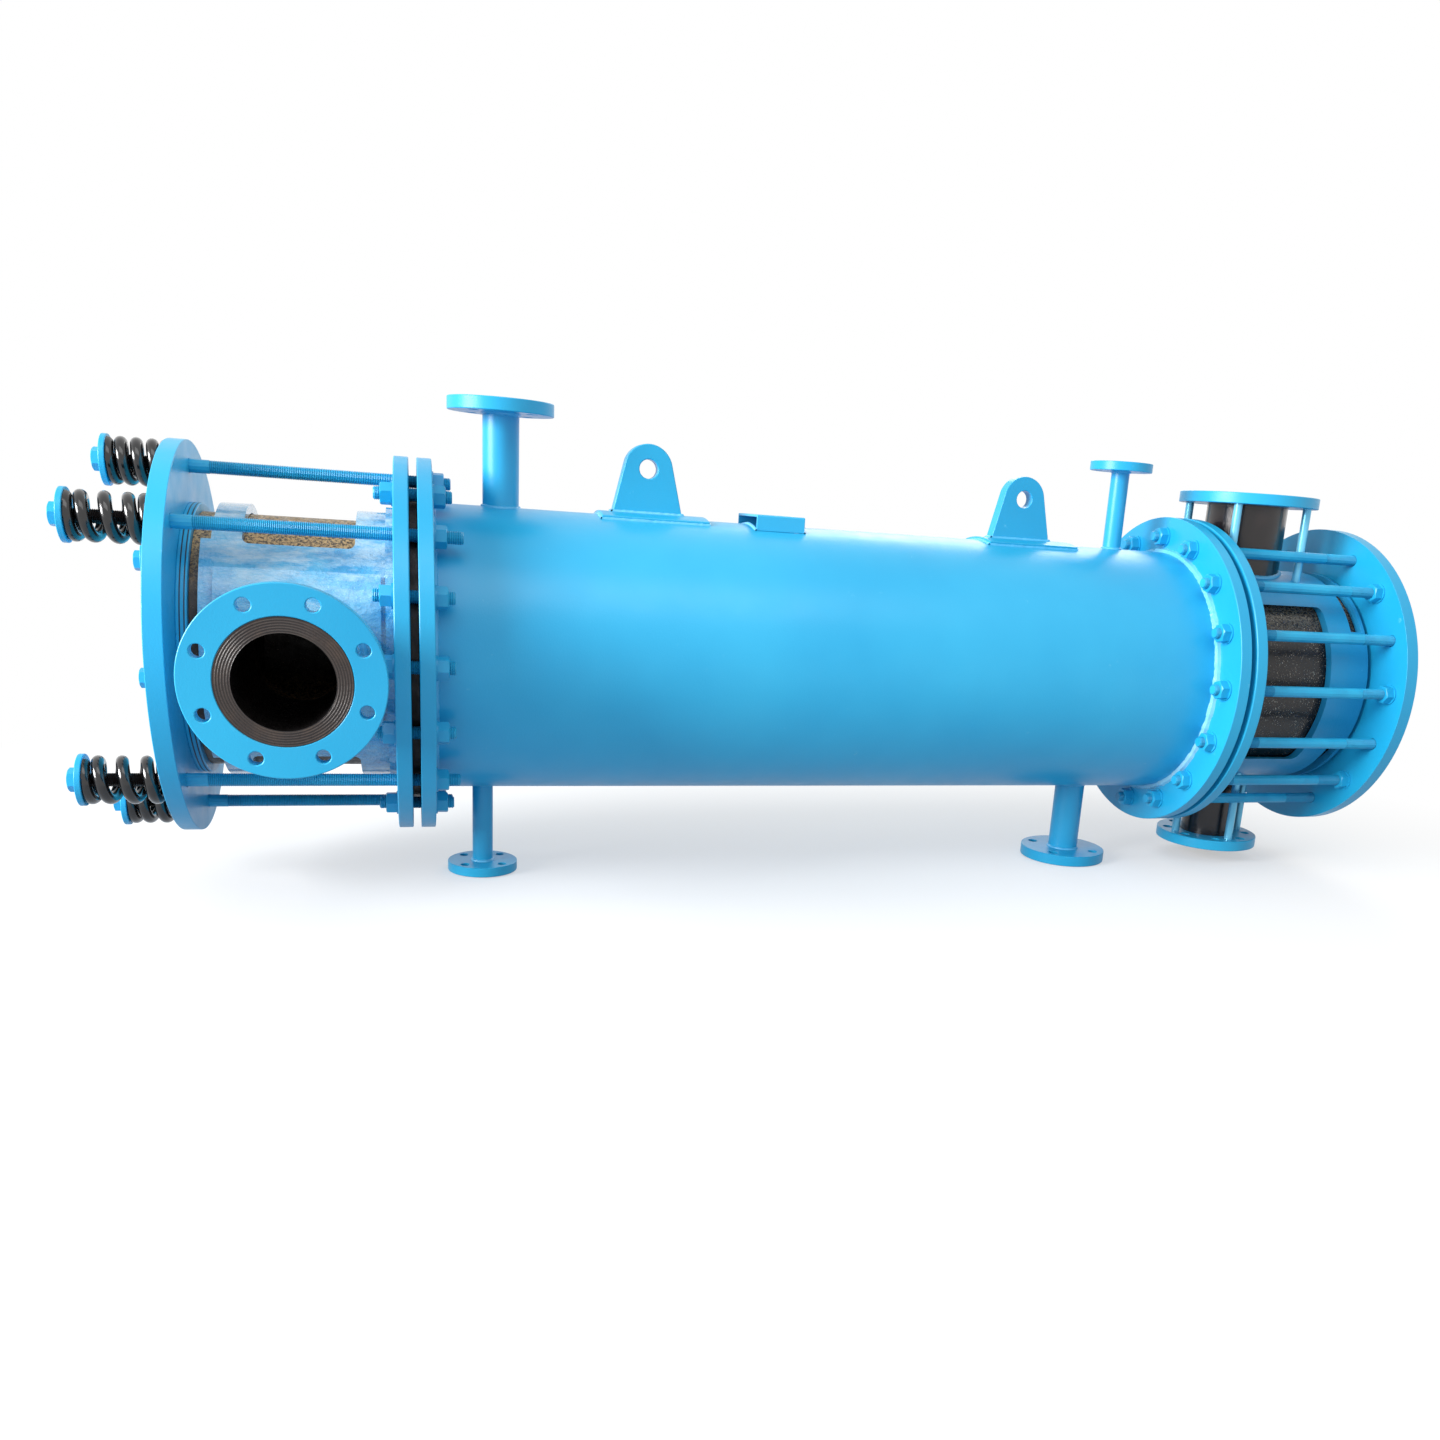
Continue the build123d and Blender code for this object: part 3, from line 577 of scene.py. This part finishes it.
def threadTree():
    t = Tree("threadedRod")
    radius = t.size("Radius", thread["radius"])
    depth = t.size("Depth", thread["depth"])
    chamfer = t.size("Chamfer", thread["chamfer"])
    pitch = t.size("Pitch", thread["pitch"])
    plainLow = t.size("Plain low", 0.0)
    plainHigh = t.size("Plain high", 0.0)
    sides = t.size("Sides", thread["sides"], "NodeSocketInt")
    line = t.add("GeometryNodeMeshToCurve", {"Mesh": t.entry.outputs[0]}).outputs[0]
    halfPitch = t.maths("MULTIPLY", pitch, 0.5)
    line = t.evenSteps(line, halfPitch)
    x = t.add("ShaderNodeSeparateXYZ", {"Vector": t.add("GeometryNodeInputPosition").outputs[0]}).outputs[0]
    odd = t.maths("MODULO", t.add("GeometryNodeInputIndex").outputs[0], 2.0)
    above = t.maths("GREATER_THAN", x, plainLow)
    below = t.maths("LESS_THAN", x, plainHigh)
    cut = t.maths("SUBTRACT", 1.0, t.maths("MULTIPLY", above, below))
    grooved = t.maths("MULTIPLY", odd, cut)
    groove = t.maths("MULTIPLY", grooved, depth)
    line = t.add("GeometryNodeStoreNamedAttribute",
                 {"Geometry": line, "Name": "groove", "Value": grooved},
                 data_type="FLOAT", domain="POINT").outputs[0]
    along = t.add("GeometryNodeSplineParameter").outputs["Length"]
    whole = t.add("GeometryNodeSplineLength").outputs["Length"]
    toEnd = t.maths("MINIMUM", along, t.maths("SUBTRACT", whole, along))
    narrow = t.maths("ADD", t.maths("SUBTRACT", radius, chamfer), toEnd)
    size = t.maths("MINIMUM", t.maths("SUBTRACT", radius, groove), narrow)
    ring = t.add("GeometryNodeCurvePrimitiveCircle", {"Resolution": sides, "Radius": 1.0}).outputs[0]
    bar = t.add("GeometryNodeCurveToMesh", {"Curve": line, "Profile Curve": ring, "Scale": size,
                                            "Fill Caps": True})
    return t.close(bar.outputs[0], rodPaint)


def linesMesh(name, lines):
    points, edges = [], []
    for line in lines:
        start = len(points)
        points += [tuple(p) for p in line]
        edges += [(start + k, start + k + 1) for k in range(len(line) - 1)]
    mesh = bpy.data.meshes.new(name)
    mesh.from_pydata(points, edges, [])
    return mesh


rodThread = threadTree()
plainStretch = {"tie_rods": thread["plainTieRods"], "right_studs": thread["plainStuds"]}
for name, lines in rodEnds().items():
    low, high = plainStretch.get(name, (0, 0))
    grow(name + "Threaded", rodThread, linesMesh(name + "Lines", lines),
         {"Plain low": low, "Plain high": high}, "blue_paint", (name,), 20)
print("rods made")


def nutMesh(name, values, height, washer):
    bm = bmesh.new()
    base = values["washerHeight"] if washer else 0.0
    top = base + height
    rows = []
    for k in range(values["steps"]):
        a = 2 * pi * k / values["steps"]
        fromFlat = (a + pi / 6) % (pi / 3) - pi / 6
        corner = values["flats"] / 2 / cos(fromFlat)
        fall = max(corner - values["chamferTo"], 0) * values["chamferSlope"]
        profile = [(values["bore"], top), (values["chamferTo"], top), (corner, top - fall),
                   (corner, base)]
        if washer:
            profile += [(values["washerRadius"], base), (values["washerRadius"], 0)]
        rows.append([bm.verts.new((r * cos(a), r * sin(a), z)) for r, z in profile])
    for k, row in enumerate(rows):
        following = rows[(k + 1) % len(rows)]
        for j in range(len(row) - 1):
            bm.faces.new((row[j], following[j], following[j + 1], row[j + 1]))
    bmesh.ops.recalc_face_normals(bm, faces=bm.faces)
    mesh = bpy.data.meshes.new(name)
    bm.to_mesh(mesh)
    bm.free()
    return mesh


def nutTree():
    t = Tree("nutsOnPlaces")
    form = t.size("Form", None, "NodeSocketObject")
    seed = t.size("Seed", fastener["turnSeed"], "NodeSocketInt")
    shape = t.add("GeometryNodeObjectInfo", {"Object": form}).outputs["Geometry"]
    points = t.add("GeometryNodeMeshToPoints", {"Mesh": t.entry.outputs[0]}).outputs[0]
    aim = t.add("FunctionNodeAlignRotationToVector", {"Vector": named(t, "way", "FLOAT_VECTOR")}, axis="Z")
    copies = t.add("GeometryNodeInstanceOnPoints", {"Points": points, "Instance": shape,
                                                    "Rotation": aim.outputs[0]}).outputs[0]
    spin = t.add("FunctionNodeRandomValue", {"Min": -0.5, "Max": 0.5, "Seed": seed},
                 data_type="FLOAT").outputs[1]
    turn = t.add("ShaderNodeCombineXYZ", {"Z": spin}).outputs[0]
    copies = t.add("GeometryNodeRotateInstances", {"Instances": copies, "Rotation": turn}).outputs[0]
    return t.close(copies, nutPaint)


def nutsAt(x, angles, way):
    return [(onCircle(x, boltRadius, angle), way) for angle in angles]


left, right = (-1, 0, 0), (1, 0, 0)
capNuts = [(onCircle(layout["plateOuter"] - length - layout["capThick"], boltRadius, angle), left)
           for angle, length in zip(tieRods["angles"], tieRods["springLengths"])]
seatNuts = (nutsAt(layout["leftSeat"], allAngles, right)
            + nutsAt(layout["leftHeaderFace"], shortAngles, left)
            + nutsAt(layout["rightSeat"], allAngles, left)
            + nutsAt(layout["coverOuter"], longAngles, right)
            + nutsAt(layout["rightHeaderFace"], portAngles, right)
            + nutsAt(layout["coverFace"], [a for a in longAngles if a % 45 == 0], left))
nutsOnPlaces = nutTree()
for name, places, height, washer in (("springNuts", capNuts, fastener["capHeight"], False),
                                     ("flangeNuts", seatNuts, fastener["height"], True)):
    form = link(name + "Form", nutMesh(name + "Form", fastener, height, washer))
    grow(name, nutsOnPlaces, placesMesh(name + "Places", places), {"Form": form}, "blue_paint", (), 24)
    bpy.data.objects.remove(form)
print("nuts made")


# Coil springs: closed and ground at both ends, a few open turns between
coil = {
    "outer": 0.070,
    "wire": 0.017,
    "openTurns": 2.2,
    "closedPitch": 1.012,
    "stepsPerTurn": 40,
    "sides": 20,
}


def springTree():
    t = Tree("coilSpring")
    wire = t.size("Wire", coil["wire"])
    outer = t.size("Outer", coil["outer"])
    openTurns = t.size("Open turns", coil["openTurns"])
    start = t.size("Start", 0.0)
    sides = t.size("Sides", coil["sides"], "NodeSocketInt")
    turn = named(t, "turn", "FLOAT")
    length = named(t, "length", "FLOAT")
    closedPitch = t.size("Closed pitch", coil["closedPitch"])
    closedRise = t.maths("MULTIPLY", wire, closedPitch)
    openRise = t.maths("SUBTRACT", length, t.maths("MULTIPLY", closedRise, 2.0))
    past = t.maths("SUBTRACT", turn, 1.0)
    share = t.maths("MINIMUM", t.maths("MAXIMUM", t.maths("DIVIDE", past, openTurns), 0.0), 1.0)
    closed = t.maths("ADD", t.maths("MINIMUM", turn, 1.0),
                     t.maths("MAXIMUM", t.maths("SUBTRACT", past, openTurns), 0.0))
    rise = t.maths("ADD", t.maths("MULTIPLY", closedRise, closed),
                   t.maths("MULTIPLY", openRise, share))
    radius = t.maths("MULTIPLY", t.maths("SUBTRACT", outer, wire), 0.5)
    angle = t.maths("MULTIPLY", turn, 2 * pi)
    offset = t.add("ShaderNodeCombineXYZ", {
        "X": t.maths("MULTIPLY", rise, -1.0),
        "Y": t.maths("MULTIPLY", t.maths("MULTIPLY", radius, t.maths("COSINE", angle)), -1.0),
        "Z": t.maths("MULTIPLY", radius, t.maths("SINE", angle))}).outputs[0]
    path = t.add("GeometryNodeSetPosition",
                 {"Geometry": t.entry.outputs[0], "Offset": offset}).outputs[0]
    path = t.add("GeometryNodeMeshToCurve", {"Mesh": path}).outputs[0]
    ring = t.add("GeometryNodeCurvePrimitiveCircle",
                 {"Resolution": sides, "Radius": t.maths("MULTIPLY", wire, 0.5)}).outputs[0]
    body = t.add("GeometryNodeCurveToMesh", {"Curve": path, "Profile Curve": ring,
                                             "Fill Caps": True}).outputs[0]
    place = t.add("ShaderNodeSeparateXYZ", {"Vector": t.add("GeometryNodeInputPosition").outputs[0]})
    ground = t.maths("MAXIMUM", t.maths("MINIMUM", place.outputs[0], start),
                     t.maths("SUBTRACT", start, length))
    flat = t.add("ShaderNodeCombineXYZ", {"X": ground, "Y": place.outputs[1],
                                          "Z": place.outputs[2]}).outputs[0]
    body = t.add("GeometryNodeSetPosition", {"Geometry": body, "Position": flat}).outputs[0]
    return t.close(body, springBlack)


def springLines(name):
    points, edges, turns, lengths = [], [], [], []
    count = round((coil["openTurns"] + 2) * coil["stepsPerTurn"])
    for angle, length in zip(tieRods["angles"], tieRods["springLengths"]):
        first = len(points)
        centre = onCircle(layout["plateOuter"], boltRadius, angle)
        points += [tuple(centre)] * (count + 1)
        edges += [(first + k, first + k + 1) for k in range(count)]
        turns += [k / coil["stepsPerTurn"] for k in range(count + 1)]
        lengths += [length] * (count + 1)
    mesh = bpy.data.meshes.new(name)
    mesh.from_pydata(points, edges, [])
    for label, values in (("turn", turns), ("length", lengths)):
        mesh.attributes.new(label, "FLOAT", "POINT").data.foreach_set("value", values)
    return mesh


grow("coilSprings", springTree(), springLines("coilLines"), {"Start": layout["plateOuter"]},
     "spring_black", ("tie_rod_springs",), 50)
print("springs made")


# Weld beads: a rippled fillet along each joint, rougher at the right flange; their paint is paler than the
# shell's, with painted highlights, nearly white in flecks at the right flange
bead = {
    "fine": 0.0032,
    "heavy": 0.0050,
    "ripple": 0.0011,
    "spacing": 0.003,
    "roughSize": 0.0080,
    "roughRipple": 0.0026,
    "roughSpacing": 0.0042,
    "seed": 7.0,
    "sides": 8,
}


def beadTree(material):
    t = Tree("weldBead")
    size = t.size("Size", bead["fine"])
    ripple = t.size("Ripple", bead["ripple"])
    spacing = t.size("Spacing", bead["spacing"])
    seed = t.size("Seed", bead["seed"])
    sides = t.size("Sides", bead["sides"], "NodeSocketInt")
    line = t.add("GeometryNodeMeshToCurve", {"Mesh": t.entry.outputs[0]}).outputs[0]
    line = t.evenSteps(line, spacing)
    place = t.add("GeometryNodeInputPosition").outputs[0]
    waver = t.add("ShaderNodeTexNoise", {"Vector": place, "W": seed, "Scale": 160.0, "Detail": 2.0},
                  noise_dimensions="4D").outputs[0]
    swell = t.maths("MULTIPLY", t.maths("SUBTRACT", waver, 0.5), t.maths("MULTIPLY", ripple, 3.0))
    thick = t.maths("ADD", size, swell)
    ring = t.add("GeometryNodeCurvePrimitiveCircle", {"Resolution": sides, "Radius": 1.0}).outputs[0]
    body = t.add("GeometryNodeCurveToMesh", {"Curve": line, "Profile Curve": ring,
                                             "Scale": thick}).outputs[0]
    return t.close(body, material)


def circle(radius, steps):
    return [(radius * cos(2 * pi * k / steps), radius * sin(2 * pi * k / steps)) for k in range(steps + 1)]


def aroundAxis(x, radius, steps=120):
    return [onCircle(x, radius, 360 * k / steps) for k in range(steps + 1)]


def stemOnBarrel(x, stem, barrel, side):  # an upright stem on the barrel, side 1 above and -1 below
    return [Vector((x + dx, y, axisZ + side * sqrt(barrel ** 2 - y ** 2))) for dx, y in circle(stem, 60)]


def levelRing(x, z, radius):
    return [Vector((x + dx, y, z)) for dx, y in circle(radius, 48)]


def facingRing(radius, barrel):  # the side nozzle's neck on the saddle
    return [Vector((layout["sideNozzleX"] + dx, -sqrt(barrel ** 2 - up ** 2), axisZ + up))
            for dx, up in circle(radius, 72)]


def padEdge(x, halfLength, halfWidth, barrel, steps=16):  # there and back across the barrel, closed
    near = [(x - halfLength, -halfWidth + 2 * halfWidth * k / steps) for k in range(steps + 1)]
    far = [(x + halfLength, -y) for _, y in near]
    return [Vector((px, y, axisZ + sqrt(barrel ** 2 - y ** 2))) for px, y in near + far + near[:1]]


# The four nozzles on the shell: place along it, stem radius, above 1 or below -1, flange's back
shellNozzles = (
    {"x": 0.0285, "stem": 0.0285, "side": 1, "flangeBack": 0.752},
    {"x": 0.0, "stem": 0.01685, "side": -1, "flangeBack": 0.016},
    {"x": 1.157, "stem": 0.01685, "side": 1, "flangeBack": 0.750},
    {"x": 1.131, "stem": 0.0285, "side": -1, "flangeBack": 0.020},
)
lugs = {
    "x": (0.265, 0.957),
    "padShift": 0.008,
    "padHalf": (0.089, 0.0545),
    "padThick": 0.006,
    "legHalf": (0.0585, 0.0125),
}
bracket = {"x": 0.482, "half": (0.042, 0.065)}
headerWelds = {
    "neckRadius": 0.089,
    "saddleHeight": 0.007,
    "topPort": (1.449, 0.0765),
    "bottomPort": (1.468, 0.0525),
}
shellR, jacketR = layout["shellRadius"], layout["jacketRadius"]
fineBeads = [stemOnBarrel(n["x"], n["stem"], shellR, n["side"]) for n in shellNozzles]
fineBeads += [levelRing(n["x"], n["flangeBack"], n["stem"]) for n in shellNozzles]
bracketEdge = padEdge(bracket["x"], *bracket["half"], shellR)
runPoints = len(bracketEdge) // 2
fineBeads += [bracketEdge[:runPoints], bracketEdge[runPoints:2 * runPoints]]  # two edges only
for lugX in lugs["x"]:
    fineBeads.append(padEdge(lugX + lugs["padShift"], *lugs["padHalf"], shellR))
    fineBeads.append(padEdge(lugX, *lugs["legHalf"], shellR + lugs["padThick"]))
heavyBeads = [
    aroundAxis(layout["leftSeat"], shellR),
    aroundAxis(layout["rightHeaderFace"], jacketR),
    facingRing(headerWelds["neckRadius"], jacketR + headerWelds["saddleHeight"]),
    stemOnBarrel(*headerWelds["topPort"], jacketR, 1),
    stemOnBarrel(*headerWelds["bottomPort"], jacketR, -1),
]
weldBead = beadTree(weldPaint)
grow("fineWelds", weldBead, linesMesh("fineWeldLines", fineBeads), {"Size": bead["fine"]}, "blue_paint")
grow("heavyWelds", weldBead, linesMesh("heavyWeldLines", heavyBeads), {"Size": bead["heavy"]}, "blue_paint")
grow("rightFlangeWeld", beadTree(brightWeld),
     linesMesh("rightFlangeWeldLine", [aroundAxis(layout["rightSeat"], shellR)]),
     {"Size": bead["roughSize"], "Ripple": bead["roughRipple"], "Spacing": bead["roughSpacing"]},
     "blue_paint")
print("welds made")


# The photograph's own viewpoint; its frame is taken as 1440 by 1440 pixels
view = {
    "place": (-0.10601, -2.10671, 0.63432),
    "yaw": -19.08,
    "pitch": -14.69,
    "roll": -4.16,
    "focal": 1221.57,
    "centre": (825.04, 835.08),
    "frame": 1440,
}
eye = bpy.data.cameras.new("camera")
eye.sensor_width = 36
eye.lens = view["focal"] / view["frame"] * 36
eye.shift_x = (view["frame"] / 2 - view["centre"][0]) / view["frame"]
eye.shift_y = (view["centre"][1] - view["frame"] / 2) / view["frame"]
eye.clip_start, eye.clip_end = 0.05, 60
cameraObject = bpy.data.objects.new("camera", eye)
bpy.context.scene.collection.objects.link(cameraObject)
cameraObject.matrix_world = (Matrix.Translation(view["place"])
                             @ Matrix.Rotation(radians(view["yaw"]), 4, "Z")
                             @ Matrix.Rotation(radians(view["pitch"]), 4, "X")
                             @ Matrix.Rotation(radians(view["roll"]), 4, "Y")
                             @ Matrix.Rotation(pi / 2, 4, "X"))
bpy.context.scene.camera = cameraObject

studio = {
    "floorSize": 14.0,
    "floorLevel": -0.001,
    "middleX": 0.6,
    "floor": srgb(252, 252, 252),
    "floorBounce": srgb(160, 172, 186),
    "floorLift": 0.45,
    "fadeFrom": 1.0,
    "fadeTo": 1.9,
    "sky": (0.97, 0.99, 1.0, 1),
    "skyStrength": 0.60,
}
lamps = {
    "key": {"place": (0.2, -2.2, 3.4), "target": (0.6, 0, 0.35), "size": (3.6, 1.8), "power": 36.0},
    "fill": {"place": (-7.0, -2.2, 2.6), "target": (0.6, 0, 0.4), "size": (4.0, 3.0), "power": 1050.0},
    "rim": {"place": (2.4, 2.6, 2.2), "target": (0.8, 0, 0.4), "size": (2.2, 1.4), "power": 30.0},
}


def whiteToCamera(tree, shader, share=None):
    # plain white where the camera, a reflection or glass sees it; share is how far it applies
    maker = NodeMaker(tree)
    path = maker.add("ShaderNodeLightPath").outputs
    white = maker.add("ShaderNodeEmission", {"Strength": 1.0}).outputs[0]
    seen = maker.maths("MAXIMUM", path["Is Camera Ray"], path["Is Glossy Ray"])
    seen = maker.maths("MAXIMUM", seen, path["Is Transmission Ray"])
    if share is not None:
        seen = maker.maths("MULTIPLY", seen, share)
    return maker.add("ShaderNodeMixShader", {0: seen, 1: shader, 2: white}).outputs[0]


# Pale floor: it keeps the shadow near the exchanger and fades to white further out
half, level, middle = studio["floorSize"] / 2, studio["floorLevel"], studio["middleX"]
floorMesh = bpy.data.meshes.new("floor")
floorMesh.from_pydata([(middle - half, -half, level), (middle + half, -half, level),
                       (middle + half, half, level), (middle - half, half, level)], [], [(0, 1, 2, 3)])
floorPiece = link("floor", floorMesh)
floorSkin = Shader("floorSkin")
byCamera = floorSkin.add("ShaderNodeLightPath").outputs["Is Camera Ray"]
floorSkin.finish(Base_Color=floorSkin.mix(byCamera, studio["floorBounce"], studio["floor"]), Roughness=0.9,
                 Specular_IOR_Level=0.0)
fromMiddle = floorSkin.add("ShaderNodeVectorMath", {0: floorSkin.coords, 1: (middle, 0.0, 0.0)},
                           operation="DISTANCE").outputs["Value"]
fade = floorSkin.grey(fromMiddle, studio["floorLift"], 1.0, studio["fadeFrom"], studio["fadeTo"])
floorSkin.put(whiteToCamera(floorSkin.tree, floorSkin.surface.outputs[0], fade),
              floorSkin.nodes["Material Output"].inputs["Surface"])
floorMesh.materials.append(floorSkin.material)

world = bpy.data.worlds.new("sky")
bpy.context.scene.world = world
world.use_nodes = True
sky = world.node_tree.nodes["Background"]
sky.inputs["Color"].default_value = studio["sky"]
sky.inputs["Strength"].default_value = studio["skyStrength"]
skyOut = world.node_tree.nodes["World Output"]
world.node_tree.links.new(whiteToCamera(world.node_tree, sky.outputs[0]), skyOut.inputs["Surface"])


def softbox(name, values):
    lamp = bpy.data.lights.new(name, "AREA")
    lamp.shape = "RECTANGLE"
    lamp.size, lamp.size_y = values["size"]
    lamp.energy = values["power"]
    holder = bpy.data.objects.new(name, lamp)
    bpy.context.scene.collection.objects.link(holder)
    aim = Vector(values["target"]) - Vector(values["place"])
    turn = aim.to_track_quat("-Z", "Y").to_matrix().to_4x4()
    holder.matrix_world = Matrix.Translation(values["place"]) @ turn


for name, values in lamps.items():
    softbox(name, values)
bpy.context.scene.view_settings.view_transform = "Standard"
print("camera and light set")
